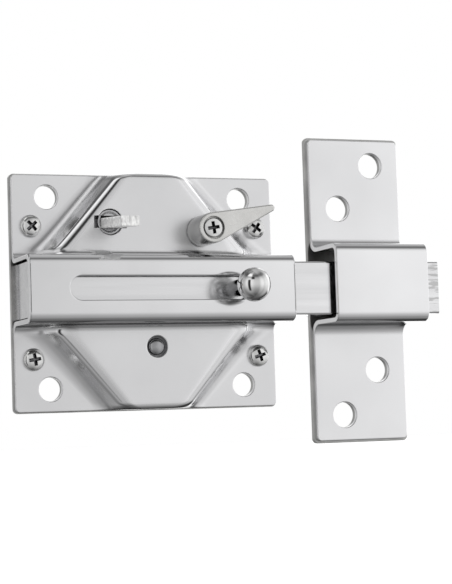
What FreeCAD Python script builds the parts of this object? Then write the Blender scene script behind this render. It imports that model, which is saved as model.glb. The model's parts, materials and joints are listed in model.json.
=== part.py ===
import FreeCAD, Part
import math
import os

# Surface-mounted sliding-bolt lock: a case for the door and a strike for the frame.
# Millimetres. Origin: middle of the case's mounting face. +X is the way the bolt is thrown,
# +Z is up and -Y points out of the door, towards the person working the lock.

V = FreeCAD.Vector
OUT = "parts"

# ---- layers, measured as heights above the door face (a height h lies at Y = -h)
PLATE_T = 2.5
SHEET_T = 2.0
FLANGE_H = PLATE_T + SHEET_T
DOME_H = 15.5
CHANNEL_H = 31.0

# ---- case
CASE_W = 117.0
CASE_H = 100.0
PLATE_MARGIN = 0.4
CORNER_R = 2.0
MOUNT_X = 43.4
MOUNT_Z = 40.5
MOUNT_R = 5.1
SCREW_X = 50.5
SCREW_Z = 28.0
SCREW_HOLE_R = 2.7

# ---- dome: a long hexagon pressed out of the cover
DOME_FOOT_END = 19.0
DOME_FOOT_SIDE = 51.0
DOME_TOP_END = 13.4
DOME_TOP_SIDE = 42.8
DOME_CORNER_R = 8.0
DOME_EDGE_R = 2.4
HOLLOW_DRAW_IN = 1.24

# ---- channel: the tunnel for the bolt, open at both ends
CHANNEL_Z = 14.2
CHANNEL_R = 4.2
SLOT_LEFT = -41.2
SLOT_RIGHT = 39.0
SLOT_Z = 5.0

# ---- bolt
BOLT_LEFT = -57.0
BOLT_RIGHT = 129.2
BOLT_Z = 11.5
BOLT_REAR_H = 8.0
BOLT_FRONT_H = 26.0
BOLT_EDGE_R = 1.0
BOLT_STROKE = 68.6

# ---- knob
KNOB_X = 33.7
STEM_R = 3.6
STUD_R = 2.6
STUD_L = 7.0
BALL_R = 7.1
BALL_H = 44.4
BALL_FLAT_H = 38.4
STUD_IN_BALL = 5.0

# ---- guides that carry the bolt at both ends of the channel
GUIDE_INNER = 47.5
GUIDE_OUTER = 57.5
GUIDE_Z = 11.4
GUIDE_GAP = 0.1
PAD_Z = 9.8
GUIDE_RIVET_R = 2.0
GUIDE_RIVET_Z = 6.5
GUIDE_RIVET_L = 6.5

# ---- key hub, throw cam and connecting bar
HUB_X = -18.8
HUB_Z = 29.0
HUB_HOLE_R = 5.5
HUB_SLOT_X = 7.0
HUB_SLOT_Z = 2.55
HUB_R = 5.3
HUB_FRONT_H = 14.6
HUB_FLANGE_R = 7.6
HUB_FLANGE_T = 1.8
HUB_BUSH_R = 8.2
HUB_BUSH_H = 4.4
HUB_BUSH_REAR_H = 0.3
HUB_FLANGE_GAP = 0.2
HUB_REAR_H = 0.6
HUB_PLAY_X = 0.1
HUB_PLAY_Z = 0.62
RUNNING = 0.06
BAR_W = 7.8
BAR_T = 4.3
BAR_FRONT_H = 43.0
BAR_REAR_H = 0.6
BAR_PITCH = 2.6
BAR_GROOVE = 0.35
BAR_DROOP = 4.5
BAR_PIVOT_H = 7.6
CAM_T = 3.0
CAM_REACH = 18.6
CAM_TIP_R = 2.0
CAM_EYE_R = 8.0
CAM_ANGLE = -140.0
NOTCH_HALF = 9.4
NOTCH_GAP = 0.5

# ---- safety lever
LEVER_X = 21.7
LEVER_Z = 25.2
LEVER_BOSS_R = 6.6
LEVER_TIP_R = 1.6
LEVER_REACH = 27.9
LEVER_ANGLE = 18.0
LEVER_FRONT_H = 31.3
LEVER_REAR_H = 16.0
LEVER_TIP_T = 4.0
LEVER_RECESS_R = 4.7
LEVER_RECESS_D = 3.1
LEVER_FLOOR_T = 2.0
SPINDLE_SQUARE = 5.8
SPINDLE_R = 4.0
SPINDLE_REAR_H = 3.2
LEVER_SCREW_HEAD_R = 4.1
LEVER_SCREW_R = 1.95
LEVER_SCREW_L = 9.0
LEVER_SCREW_SINK = 0.3
LEVER_SCREW_PLAY = 0.1
WASHER_GAP = 0.05
WASHER_R = 6.2
LOCK_CAM_REACH = 14.4
LOCK_CAM_W = 5.0
LOCK_CAM_REAR_H = 9.0
LOCK_CAM_FRONT_H = 12.4
LOCK_CAM_ANGLE = 180.0
LOCK_CAM_EYE = 2.4
LOCK_CAM_GAP = 0.4
LOCK_NOTCH_LEFT = 9.6
LOCK_NOTCH_RIGHT = 3.4
LEVER_BUSH_R = 6.4
LEVER_BUSH_H = 6.5

# ---- push button and the tongue that it carries
BUTTON_X = 0.5
BUTTON_Z = -23.7
BUTTON_HOLE_R = 4.5
BUTTON_R = 3.6
BUTTON_FRONT_H = 15.5
BUTTON_DOME = 0.7
BUTTON_FLANGE_R = 5.4
BUTTON_FLANGE_FRONT_H = 13.4
BUTTON_FLANGE_T = 1.2
BUTTON_STEM_R = 2.0
BUTTON_STEM_END_H = 5.3
BUTTON_TRAVEL = 2.5
TONGUE_T = 2.0
TONGUE_W = 6.0
TONGUE_TOP_Z = -10.5
TONGUE_LOW_Z = -28.2
TONGUE_GAP = 0.4
TONGUE_PLAY_H = 0.6
TONGUE_PLAY_X = 1.0
TONGUE_NOTCH_PLAY = 0.5
CLIP_R = 4.9
CLIP_T = 0.6
CLIP_MOUTH = 2.4
SLEEVE_R = 3.4
SLEEVE_H = 7.0
SPRING_R = 4.2
SPRING_WIRE_R = 0.3
SPRING_TURNS = 4.0
SPRING_END_GAP = 0.02

# ---- strike
STRIKE_X = 99.8
STRIKE_Z = 1.0
STRIKE_W = 44.0
STRIKE_HALF_H = 67.3
STRIKE_MARGIN = 1.0
STRIKE_BOX_UP = 18.4
STRIKE_BOX_DOWN = 16.0
STRIKE_BOX_H = 31.0
STRIKE_BEND_R = 3.6
STRIKE_HOLE_R = 5.7
STRIKE_HOLE_X = 8.4
STRIKE_HOLE_FAR = 56.0
STRIKE_HOLE_NEAR = 36.3

# ---- cross-head screws
HEAD_R = 4.8
HEAD_H = 3.0
HEAD_EDGE_R = 1.8
SCREW_R = 2.45
CROSS_L = 4.6
CROSS_W = 1.1
CROSS_D = 1.8
CROSS_CORE_R = 1.1


def block(x0, x1, h0, h1, z0, z1):
    """A box between two X values, two heights above the door and two Z values."""
    return Part.makeBox(x1 - x0, h1 - h0, z1 - z0, V(x0, -h1, z0))


def disc(x, z, radius, h0, h1):
    """A cylinder that stands out of the door between two heights."""
    return Part.makeCylinder(radius, h1 - h0, V(x, -h0, z), V(0, -1, 0))


def edges_along(shape, axis, keep):
    """The straight edges of a shape along an axis whose middle passes the test."""
    found = []
    for edge in shape.Edges:
        if len(edge.Vertexes) != 2:
            continue
        step = edge.Vertexes[1].Point.sub(edge.Vertexes[0].Point)
        if step.Length < 1e-6 or abs(abs(step.normalize().dot(axis)) - 1) > 1e-6:
            continue
        middle = edge.CenterOfMass
        if keep(middle):
            found.append(edge)
    return found


def round_corners(shape, radius):
    """Rounds the corners of a flat plate, seen from the front."""
    return shape.makeFillet(radius, edges_along(shape, V(0, 1, 0), lambda p: True))


def rounded_outline(points, radius, height):
    """A closed wire through points in the XZ plane, at a height, with its corners as arcs."""
    count = len(points)
    starts = []
    ends = []
    mids = []
    for i, point in enumerate(points):
        here = V(point[0], -height, point[1])
        before = points[i - 1]
        after = points[(i + 1) % count]
        to_before = V(before[0], -height, before[1]).sub(here).normalize()
        to_after = V(after[0], -height, after[1]).sub(here).normalize()
        half_turn = to_before.getAngle(to_after) / 2
        reach = radius / math.tan(half_turn)
        bisector = to_before.add(to_after).normalize()
        centre = here.add(bisector * (radius / math.sin(half_turn)))
        starts.append(here.add(to_before * reach))
        ends.append(here.add(to_after * reach))
        mids.append(centre.sub(bisector * radius))
    edges = []
    for i in range(count):
        edges.append(Part.Arc(starts[i], mids[i], ends[i]).toShape())
        edges.append(Part.LineSegment(ends[i], starts[(i + 1) % count]).toShape())
    return Part.Wire(edges)


def case_corners(x, z):
    """The four places at plus and minus x and z."""
    return [(sx * x, sz * z) for sx in (-1, 1) for sz in (-1, 1)]


# ---------------------------------------------------------------- case cover

def dome_outline(end, side, inset):
    """Hexagon outline with its two points cut off where it meets the channel."""
    top = CASE_H / 2 - inset
    waist = CHANNEL_Z
    e = end - inset
    s = side - inset
    return [(-e, top), (-s, waist), (-s, -waist), (-e, -top), (e, -top), (s, -waist), (s, waist), (e, top)]


def dome_solid(inset, base_h, top_h):
    """The dome's frustum, drawn in by an inset for its hollow."""
    foot = rounded_outline(dome_outline(DOME_FOOT_END, DOME_FOOT_SIDE, inset), DOME_CORNER_R - inset, base_h)
    top = rounded_outline(dome_outline(DOME_TOP_END, DOME_TOP_SIDE, inset), DOME_CORNER_R - inset, top_h)
    return Part.makeLoft([foot, top], True, True)


def dome_outer():
    solid = dome_solid(0.0, PLATE_T, DOME_H)
    rim = [e for e in solid.Edges if abs(e.CenterOfMass.y + DOME_H) < 1e-4]
    return solid.makeFillet(DOME_EDGE_R, rim)


def channel_outer():
    half = CASE_W / 2
    solid = block(-half, half, PLATE_T, CHANNEL_H, -CHANNEL_Z, CHANNEL_Z)
    front = edges_along(solid, V(1, 0, 0), lambda p: p.y < -CHANNEL_H + 1)
    return solid.makeFillet(CHANNEL_R, front)


def channel_inner():
    half = CASE_W / 2 + 1
    z = CHANNEL_Z - SHEET_T
    solid = block(-half, half, PLATE_T - 1, CHANNEL_H - SHEET_T, -z, z)
    front = edges_along(solid, V(1, 0, 0), lambda p: p.y < -CHANNEL_H + SHEET_T + 1)
    return solid.makeFillet(CHANNEL_R - SHEET_T, front)


def knob_slot():
    z = SLOT_Z
    low = CHANNEL_H - SHEET_T - 1
    high = CHANNEL_H + 1
    slot = block(SLOT_LEFT + z, SLOT_RIGHT - z, low, high, -z, z)
    for x in (SLOT_LEFT + z, SLOT_RIGHT - z):
        slot = slot.fuse(disc(x, 0, z, low, high))
    return slot


def hub_opening():
    """Round hole for the hub, with a cross slot for feeding the connecting bar through."""
    low = DOME_H - SHEET_T - 1
    high = DOME_H + 1
    slot = block(HUB_X - HUB_SLOT_X, HUB_X + HUB_SLOT_X, low, high, HUB_Z - HUB_SLOT_Z, HUB_Z + HUB_SLOT_Z)
    return slot.fuse(disc(HUB_X, HUB_Z, HUB_HOLE_R, low, high))


def make_case_cover():
    half_w = CASE_W / 2
    half_h = CASE_H / 2
    flange = round_corners(block(-half_w, half_w, PLATE_T, FLANGE_H, -half_h, half_h), CORNER_R)
    body = flange.fuse(dome_outer()).fuse(channel_outer()).removeSplitter()
    body = body.cut(dome_solid(HOLLOW_DRAW_IN, PLATE_T - SHEET_T, DOME_H - SHEET_T))
    body = body.cut(channel_inner())
    body = body.cut(knob_slot())
    body = body.cut(hub_opening())
    body = body.cut(disc(LEVER_X, LEVER_Z, SPINDLE_R + RUNNING, DOME_H - SHEET_T - 1, DOME_H + 1))
    body = body.cut(disc(BUTTON_X, BUTTON_Z, BUTTON_HOLE_R, DOME_H - SHEET_T - 1, DOME_H + 1))
    for x, z in case_corners(MOUNT_X, MOUNT_Z):
        body = body.cut(disc(x, z, MOUNT_R, 0, FLANGE_H + 1))
    for x, z in case_corners(SCREW_X, SCREW_Z):
        body = body.cut(disc(x, z, SCREW_HOLE_R, 0, FLANGE_H + 1))
    return body


# ---------------------------------------------------------------- fixed pieces

def make_back_plate():
    half_w = CASE_W / 2 + PLATE_MARGIN
    half_h = CASE_H / 2 + PLATE_MARGIN
    plate = round_corners(block(-half_w, half_w, 0, PLATE_T, -half_h, half_h), CORNER_R)
    for x, z in case_corners(MOUNT_X, MOUNT_Z):
        plate = plate.cut(disc(x, z, MOUNT_R, -1, PLATE_T + 1))
    for x, z in case_corners(SCREW_X, SCREW_Z):
        plate = plate.cut(disc(x, z, SCREW_R, -1, PLATE_T + 1))
    for x, z in guide_rivet_places():
        plate = plate.cut(disc(x, z, GUIDE_RIVET_R, -1, PLATE_T + 1))
    return plate.cut(disc(HUB_X, HUB_Z, HUB_BUSH_R, -1, PLATE_T + 1))


def cross_recess(x, z, face_h, turn):
    """The cross-shaped driver recess in a screw head whose face is at face_h."""
    low = face_h - CROSS_D
    high = face_h + 1
    cross = disc(x, z, CROSS_CORE_R, low, high)
    for angle in (turn, turn + 90):
        bar = block(x - CROSS_L / 2, x + CROSS_L / 2, low, high, z - CROSS_W / 2, z + CROSS_W / 2)
        bar.rotate(V(x, 0, z), V(0, 1, 0), angle)
        cross = cross.fuse(bar)
    return cross


def pan_screw(x, z, turn):
    """A pan-head screw that clamps the cover down on the back plate."""
    head = disc(x, z, HEAD_R, FLANGE_H, FLANGE_H + HEAD_H)
    rim = [e for e in head.Edges if abs(e.CenterOfMass.y + FLANGE_H + HEAD_H) < 1e-4]
    head = head.makeFillet(HEAD_EDGE_R, rim)
    head = head.cut(cross_recess(x, z, FLANGE_H + HEAD_H, turn))
    return head.fuse(disc(x, z, SCREW_R, 0, FLANGE_H)).removeSplitter()


def make_case_screws():
    turns = (20, 65, 10, 50)
    places = case_corners(SCREW_X, SCREW_Z)
    return Part.makeCompound([pan_screw(x, z, turn) for (x, z), turn in zip(places, turns)])


def guide_rivet_places():
    middle = (GUIDE_INNER + GUIDE_OUTER) / 2
    return case_corners(middle, GUIDE_RIVET_Z)


def make_bolt_guide(side):
    """Block on the back plate that the bolt slides on, at one end of the channel."""
    x0, x1 = sorted((side * GUIDE_INNER, side * GUIDE_OUTER))
    guide = block(x0, x1, PLATE_T, BOLT_REAR_H - GUIDE_GAP, -GUIDE_Z, GUIDE_Z)
    for x, z in guide_rivet_places():
        guide = guide.cut(disc(x, z, GUIDE_RIVET_R, 0, GUIDE_RIVET_L))
    return guide


def make_guide_rivets():
    rivets = [disc(x, z, GUIDE_RIVET_R, 0, GUIDE_RIVET_L) for x, z in guide_rivet_places()]
    return Part.makeCompound(rivets)


def make_slide_pad(side):
    """Pad inside the channel's front wall that takes up the room in front of the bolt."""
    x0, x1 = sorted((side * GUIDE_INNER, side * GUIDE_OUTER))
    return block(x0, x1, BOLT_FRONT_H + GUIDE_GAP, CHANNEL_H - SHEET_T, -PAD_Z, PAD_Z)


def make_hub_bush():
    ring = disc(HUB_X, HUB_Z, HUB_BUSH_R, HUB_BUSH_REAR_H, HUB_BUSH_H)
    return ring.cut(disc(HUB_X, HUB_Z, HUB_R + RUNNING, -1, HUB_BUSH_H + 1))


def make_lever_bush():
    ring = disc(LEVER_X, LEVER_Z, LEVER_BUSH_R, PLATE_T, LEVER_BUSH_H)
    return ring.cut(disc(LEVER_X, LEVER_Z, SPINDLE_R + RUNNING, PLATE_T - 1, LEVER_BUSH_H + 1))


def make_button_sleeve():
    ring = disc(BUTTON_X, BUTTON_Z, SLEEVE_R, PLATE_T, SLEEVE_H)
    return ring.cut(disc(BUTTON_X, BUTTON_Z, BUTTON_STEM_R + RUNNING, PLATE_T - 1, SLEEVE_H + 1))


# ---------------------------------------------------------------- bolt and knob

def make_bolt():
    bolt = block(BOLT_LEFT, BOLT_RIGHT, BOLT_REAR_H, BOLT_FRONT_H, -BOLT_Z, BOLT_Z)
    long_edges = edges_along(bolt, V(1, 0, 0), lambda p: p.y < -BOLT_FRONT_H + 1)
    bolt = bolt.makeFillet(BOLT_EDGE_R, long_edges)
    bolt = bolt.cut(throw_notches())
    bolt = bolt.cut(lever_notches())
    bolt = bolt.cut(tongue_track())
    stud_hole = disc(KNOB_X, 0, STUD_R, BOLT_FRONT_H - STUD_L, BOLT_FRONT_H + 1)
    return bolt.cut(stud_hole)


def cam_low():
    """Height of the throw cam's rear face, on the hub's flange."""
    return HUB_BUSH_H + HUB_FLANGE_GAP + HUB_FLANGE_T


def throw_notches():
    """Notches in the bolt's upper rear edge that the throw cam sweeps through, one per turn."""
    low = BOLT_REAR_H - 1
    high = cam_low() + CAM_T + NOTCH_GAP
    cuts = []
    for step in range(3):
        x = HUB_X + step * BOLT_STROKE / 2
        floor = HUB_Z - CAM_REACH - NOTCH_GAP
        cuts.append(block(x - NOTCH_HALF, x + NOTCH_HALF, low, high, floor, BOLT_Z + 1))
    return Part.makeCompound(cuts)


def lever_notches():
    """Notches that the lever's lock cam swings into, with the bolt thrown or drawn back."""
    floor = LEVER_Z - LOCK_CAM_REACH - NOTCH_GAP
    high = LOCK_CAM_FRONT_H + LOCK_CAM_GAP
    cuts = []
    for x in (LEVER_X, LEVER_X + BOLT_STROKE):
        cuts.append(block(x - LOCK_NOTCH_LEFT, x + LOCK_NOTCH_RIGHT, BOLT_REAR_H - 1, high, floor, BOLT_Z + 1))
    return Part.makeCompound(cuts)


def tongue_track():
    """Groove along the bolt's lower rear edge for the resting tongue, and its two lock notches."""
    roof = TONGUE_TOP_Z + TONGUE_GAP
    front = BUTTON_FLANGE_FRONT_H - BUTTON_FLANGE_T + TONGUE_GAP
    rear = front - TONGUE_T - TONGUE_PLAY_H
    right = BUTTON_X + BOLT_STROKE + TONGUE_W / 2 + TONGUE_PLAY_X
    cuts = [block(BUTTON_X - TONGUE_W, right, rear, front, -BOLT_Z - 1, roof)]
    half = TONGUE_W / 2 + TONGUE_NOTCH_PLAY
    for x in (BUTTON_X, BUTTON_X + BOLT_STROKE):
        cuts.append(block(x - half, x + half, BOLT_REAR_H - 1, front, -BOLT_Z - 1, roof))
    return Part.makeCompound(cuts)


def make_knob_stem():
    stem = disc(KNOB_X, 0, STEM_R, BOLT_FRONT_H, BALL_FLAT_H)
    stem = stem.fuse(disc(KNOB_X, 0, STUD_R, BOLT_FRONT_H - STUD_L, BOLT_FRONT_H))
    stem = stem.fuse(disc(KNOB_X, 0, STUD_R, BALL_FLAT_H, BALL_FLAT_H + STUD_IN_BALL))
    return stem.removeSplitter()


def make_knob_ball():
    ball = Part.makeSphere(BALL_R, V(KNOB_X, -BALL_H, 0))
    ball = ball.cut(disc(KNOB_X, 0, BALL_R, BALL_FLAT_H - BALL_R, BALL_FLAT_H))
    return ball.cut(disc(KNOB_X, 0, STUD_R, BALL_FLAT_H - 1, BALL_FLAT_H + STUD_IN_BALL))


# ---------------------------------------------------------------- key hub

def bar_blank(grow_x, grow_z, h0, h1):
    w = BAR_W / 2 + grow_x
    t = BAR_T / 2 + grow_z
    return block(HUB_X - w, HUB_X + w, h0, h1, HUB_Z - t, HUB_Z + t)


def make_cam_hub():
    """Round hub with a slot that the connecting bar floats in, so that the bar can tip a little."""
    hub = disc(HUB_X, HUB_Z, HUB_R, HUB_REAR_H, HUB_FRONT_H)
    hub = hub.fuse(disc(HUB_X, HUB_Z, HUB_FLANGE_R, cam_low() - HUB_FLANGE_T, cam_low()))
    return hub.cut(bar_blank(HUB_PLAY_X, HUB_PLAY_Z, 0, HUB_FRONT_H + 1)).removeSplitter()


def arm_outline(x, z, eye_r, tip_r, reach, angle, h0, h1):
    """A tapered arm: a round eye, a round tip and the two straight flanks that touch both."""
    centre = V(x, -h0, z)
    lean = math.asin((eye_r - tip_r) / reach)
    tip = V(x + reach, -h0, z)
    eye_point = V(x + eye_r * math.sin(lean), -h0, z + eye_r * math.cos(lean))
    tip_point = V(tip.x + tip_r * math.sin(lean), -h0, z + tip_r * math.cos(lean))
    eye_mirror = V(eye_point.x, -h0, 2 * z - eye_point.z)
    tip_mirror = V(tip_point.x, -h0, 2 * z - tip_point.z)
    edges = [
        Part.Arc(eye_mirror, V(x - eye_r, -h0, z), eye_point).toShape(),
        Part.LineSegment(eye_point, tip_point).toShape(),
        Part.Arc(tip_point, V(tip.x + tip_r, -h0, z), tip_mirror).toShape(),
        Part.LineSegment(tip_mirror, eye_mirror).toShape(),
    ]
    arm = Part.Face(Part.Wire(edges)).extrude(V(0, h0 - h1, 0))
    arm.rotate(centre, V(0, 1, 0), -angle)
    return arm


def make_throw_cam():
    low = cam_low()
    reach = CAM_REACH - CAM_TIP_R
    cam = arm_outline(HUB_X, HUB_Z, CAM_EYE_R, CAM_TIP_R, reach, CAM_ANGLE, low, low + CAM_T)
    return cam.cut(disc(HUB_X, HUB_Z, HUB_R, 0, HUB_FRONT_H))


def make_connecting_bar():
    """Flat bar turned by the key, with snap-off grooves across all four sides. It tips down."""
    bar = bar_blank(0.0, 0.0, BAR_REAR_H, BAR_FRONT_H)
    core = bar_blank(-BAR_GROOVE, -BAR_GROOVE, BAR_REAR_H, BAR_FRONT_H)
    h = HUB_FRONT_H + BAR_PITCH
    while h < BAR_FRONT_H - BAR_PITCH / 2:
        slice_of_skin = bar_blank(1.0, 1.0, h - BAR_GROOVE, h + BAR_GROOVE).cut(core)
        bar = bar.cut(slice_of_skin)
        h += BAR_PITCH
    bar.rotate(V(HUB_X, -BAR_PIVOT_H, HUB_Z), V(1, 0, 0), BAR_DROOP)
    return bar


# ---------------------------------------------------------------- safety lever

def make_safety_lever():
    reach = LEVER_REACH
    lever = arm_outline(
        LEVER_X, LEVER_Z, LEVER_BOSS_R, LEVER_TIP_R, reach, LEVER_ANGLE, LEVER_REAR_H, LEVER_FRONT_H
    )
    lever = lever.cut(lever_underside())
    lever = lever.cut(disc(LEVER_X, LEVER_Z, LEVER_RECESS_R, LEVER_FRONT_H - LEVER_RECESS_D, LEVER_FRONT_H + 1))
    lever = lever.cut(disc(LEVER_X, LEVER_Z, LEVER_SCREW_R + LEVER_SCREW_PLAY, LEVER_REAR_H, LEVER_FRONT_H))
    return lever.cut(spindle_square(LEVER_REAR_H - 1))


def lever_underside():
    """Wedge that thins the arm towards its tip and leaves the boss at full height."""
    start = LEVER_X + LEVER_BOSS_R + 1.5
    end = LEVER_X + LEVER_REACH + LEVER_TIP_R + 1
    low = LEVER_REAR_H - 1
    points = [
        V(start, -low, 0),
        V(start, -(LEVER_REAR_H + 1.5), 0),
        V(end, -(LEVER_FRONT_H - LEVER_TIP_T), 0),
        V(end, -low, 0),
    ]
    face = Part.Face(Part.makePolygon(points + points[:1]))
    face.translate(V(0, 0, LEVER_Z - LEVER_REACH))
    wedge = face.extrude(V(0, 0, 2 * LEVER_REACH))
    wedge.rotate(V(LEVER_X, 0, LEVER_Z), V(0, 1, 0), -LEVER_ANGLE)
    return wedge


def spindle_square(low):
    """The square drive between spindle and lever, from a height up to the lever's floor."""
    half = SPINDLE_SQUARE / 2
    high = LEVER_FRONT_H - LEVER_RECESS_D - LEVER_FLOOR_T
    square = block(LEVER_X - half, LEVER_X + half, low, high, LEVER_Z - half, LEVER_Z + half)
    square.rotate(V(LEVER_X, 0, LEVER_Z), V(0, 1, 0), -LEVER_ANGLE)
    return square


def make_lever_spindle():
    spindle = disc(LEVER_X, LEVER_Z, SPINDLE_R, SPINDLE_REAR_H, LEVER_REAR_H)
    spindle = spindle.fuse(spindle_square(LEVER_REAR_H)).removeSplitter()
    head_low = LEVER_FRONT_H - LEVER_RECESS_D
    return spindle.cut(disc(LEVER_X, LEVER_Z, LEVER_SCREW_R, head_low - LEVER_SCREW_L, head_low))


def make_lever_screw():
    head_low = LEVER_FRONT_H - LEVER_RECESS_D
    head_high = LEVER_FRONT_H - LEVER_SCREW_SINK
    screw = disc(LEVER_X, LEVER_Z, LEVER_SCREW_HEAD_R, head_low, head_high)
    screw = screw.cut(cross_recess(LEVER_X, LEVER_Z, head_high, 35))
    return screw.fuse(disc(LEVER_X, LEVER_Z, LEVER_SCREW_R, head_low - LEVER_SCREW_L, head_low)).removeSplitter()


def make_lever_washer():
    washer = disc(LEVER_X, LEVER_Z, WASHER_R, DOME_H + WASHER_GAP, LEVER_REAR_H)
    return washer.cut(disc(LEVER_X, LEVER_Z, SPINDLE_R, DOME_H - 1, LEVER_REAR_H + 1))


def make_lock_cam():
    """Finger on the spindle that swings down into the bolt when the lever is turned up."""
    half = LOCK_CAM_W / 2
    cam = disc(LEVER_X, LEVER_Z, SPINDLE_R + LOCK_CAM_EYE, LOCK_CAM_REAR_H, LOCK_CAM_FRONT_H)
    end = LEVER_X + LOCK_CAM_REACH
    finger = block(LEVER_X, end, LOCK_CAM_REAR_H, LOCK_CAM_FRONT_H, LEVER_Z - half, LEVER_Z + half)
    finger.rotate(V(LEVER_X, 0, LEVER_Z), V(0, 1, 0), -LOCK_CAM_ANGLE)
    cam = cam.fuse(finger).removeSplitter()
    return cam.cut(disc(LEVER_X, LEVER_Z, SPINDLE_R, 0, LEVER_REAR_H))


# ---------------------------------------------------------------- push button

def make_push_button():
    flange_low = BUTTON_FLANGE_FRONT_H - BUTTON_FLANGE_T
    button = disc(BUTTON_X, BUTTON_Z, BUTTON_R, flange_low, BUTTON_FRONT_H)
    rim = [e for e in button.Edges if abs(e.CenterOfMass.y + BUTTON_FRONT_H) < 1e-4]
    button = button.makeFillet(BUTTON_DOME, rim)
    button = button.fuse(disc(BUTTON_X, BUTTON_Z, BUTTON_FLANGE_R, flange_low, BUTTON_FLANGE_FRONT_H))
    stem = disc(BUTTON_X, BUTTON_Z, BUTTON_STEM_R, BUTTON_STEM_END_H, flange_low)
    return button.fuse(stem).removeSplitter()


def make_lock_tongue():
    high = BUTTON_FLANGE_FRONT_H - BUTTON_FLANGE_T
    half = TONGUE_W / 2
    tongue = block(BUTTON_X - half, BUTTON_X + half, high - TONGUE_T, high, TONGUE_LOW_Z, TONGUE_TOP_Z)
    tongue = tongue.fuse(disc(BUTTON_X, BUTTON_Z, BUTTON_FLANGE_R, high - TONGUE_T, high)).removeSplitter()
    return tongue.cut(disc(BUTTON_X, BUTTON_Z, BUTTON_STEM_R, 0, DOME_H))


def clip_heights():
    high = BUTTON_FLANGE_FRONT_H - BUTTON_FLANGE_T - TONGUE_T
    return high - CLIP_T, high


def make_tongue_clip():
    low, high = clip_heights()
    ring = disc(BUTTON_X, BUTTON_Z, CLIP_R, low, high)
    ring = ring.cut(disc(BUTTON_X, BUTTON_Z, BUTTON_STEM_R, 0, DOME_H))
    half = CLIP_MOUTH / 2
    mouth = block(BUTTON_X, BUTTON_X + CLIP_R + 1, 0, DOME_H, BUTTON_Z - half, BUTTON_Z + half)
    return ring.cut(mouth)


def make_button_spring():
    """Compression spring round the sleeve, from the back plate up to the clip."""
    low = PLATE_T + SPRING_WIRE_R + SPRING_END_GAP
    high = clip_heights()[0] - SPRING_WIRE_R - SPRING_END_GAP
    pitch = (high - low) / SPRING_TURNS
    helix = Part.makeHelix(pitch, high - low, SPRING_R)
    section = Part.Wire(Part.makeCircle(SPRING_WIRE_R, V(SPRING_R, 0, 0), V(0, 1, 0)))
    spring = Part.Wire(helix).makePipeShell([section], True, True)
    spring.rotate(V(0, 0, 0), V(1, 0, 0), 90)
    spring.translate(V(BUTTON_X, -low, BUTTON_Z))
    return spring


# ---------------------------------------------------------------- strike

def strike_hole_places():
    """Two vertical pairs of holes; the pairs are the same pair turned half a turn."""
    places = []
    for turn in (1, -1):
        for z in (STRIKE_HOLE_FAR, -STRIKE_HOLE_NEAR):
            places.append((STRIKE_X + turn * STRIKE_HOLE_X, STRIKE_Z + turn * z))
    return places


def strike_holes(body):
    for x, z in strike_hole_places():
        body = body.cut(disc(x, z, STRIKE_HOLE_R, -1, FLANGE_H + 1))
    return body


def lies_at(edge, levels):
    """Whether an edge's middle is at one of the given z levels."""
    return any(abs(edge.CenterOfMass.z - z) < 0.01 for z in levels)


def make_strike_bracket():
    """Hat-shaped sheet bracket: two flanges and a box, a little above the middle, for the bolt."""
    x0 = STRIKE_X - STRIKE_W / 2
    x1 = STRIKE_X + STRIKE_W / 2
    top = STRIKE_Z + STRIKE_BOX_UP
    bottom = STRIKE_Z - STRIKE_BOX_DOWN
    low = STRIKE_Z - STRIKE_HALF_H
    high = STRIKE_Z + STRIKE_HALF_H
    flange = round_corners(block(x0, x1, PLATE_T, FLANGE_H, low, high), CORNER_R)
    bracket = flange.fuse(block(x0, x1, PLATE_T, STRIKE_BOX_H, bottom, top))
    bracket = bracket.removeSplitter()
    bracket = bracket.cut(
        block(x0 - 1, x1 + 1, PLATE_T - 1, STRIKE_BOX_H - SHEET_T, bottom + SHEET_T, top - SHEET_T)
    )
    outside = [
        e for e in edges_along(bracket, V(1, 0, 0), lambda p: True)
        if lies_at(e, (bottom, top)) and e.CenterOfMass.y < -FLANGE_H + 0.01
    ]
    bracket = bracket.makeFillet(STRIKE_BEND_R, outside)
    inside = [
        e for e in edges_along(bracket, V(1, 0, 0), lambda p: True)
        if lies_at(e, (bottom + SHEET_T, top - SHEET_T))
    ]
    bracket = bracket.makeFillet(STRIKE_BEND_R - SHEET_T, inside)
    return strike_holes(bracket)


def make_strike_backing():
    half_w = STRIKE_W / 2 + STRIKE_MARGIN
    half_h = STRIKE_HALF_H + STRIKE_MARGIN
    plate = block(STRIKE_X - half_w, STRIKE_X + half_w, 0, PLATE_T, STRIKE_Z - half_h, STRIKE_Z + half_h)
    return strike_holes(round_corners(plate, CORNER_R))


PARTS = {
    "case_cover": make_case_cover,
    "back_plate": make_back_plate,
    "case_screws": make_case_screws,
    "bolt_guide_left": lambda: make_bolt_guide(-1),
    "bolt_guide_right": lambda: make_bolt_guide(1),
    "guide_rivets": make_guide_rivets,
    "slide_pad_left": lambda: make_slide_pad(-1),
    "slide_pad_right": lambda: make_slide_pad(1),
    "hub_bush": make_hub_bush,
    "lever_bush": make_lever_bush,
    "button_sleeve": make_button_sleeve,
    "bolt": make_bolt,
    "knob_stem": make_knob_stem,
    "knob_ball": make_knob_ball,
    "cam_hub": make_cam_hub,
    "throw_cam": make_throw_cam,
    "connecting_bar": make_connecting_bar,
    "safety_lever": make_safety_lever,
    "lever_spindle": make_lever_spindle,
    "lever_screw": make_lever_screw,
    "lever_washer": make_lever_washer,
    "lock_cam": make_lock_cam,
    "push_button": make_push_button,
    "lock_tongue": make_lock_tongue,
    "tongue_clip": make_tongue_clip,
    "button_spring": make_button_spring,
    "strike_bracket": make_strike_bracket,
    "strike_backing": make_strike_backing,
}

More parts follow.
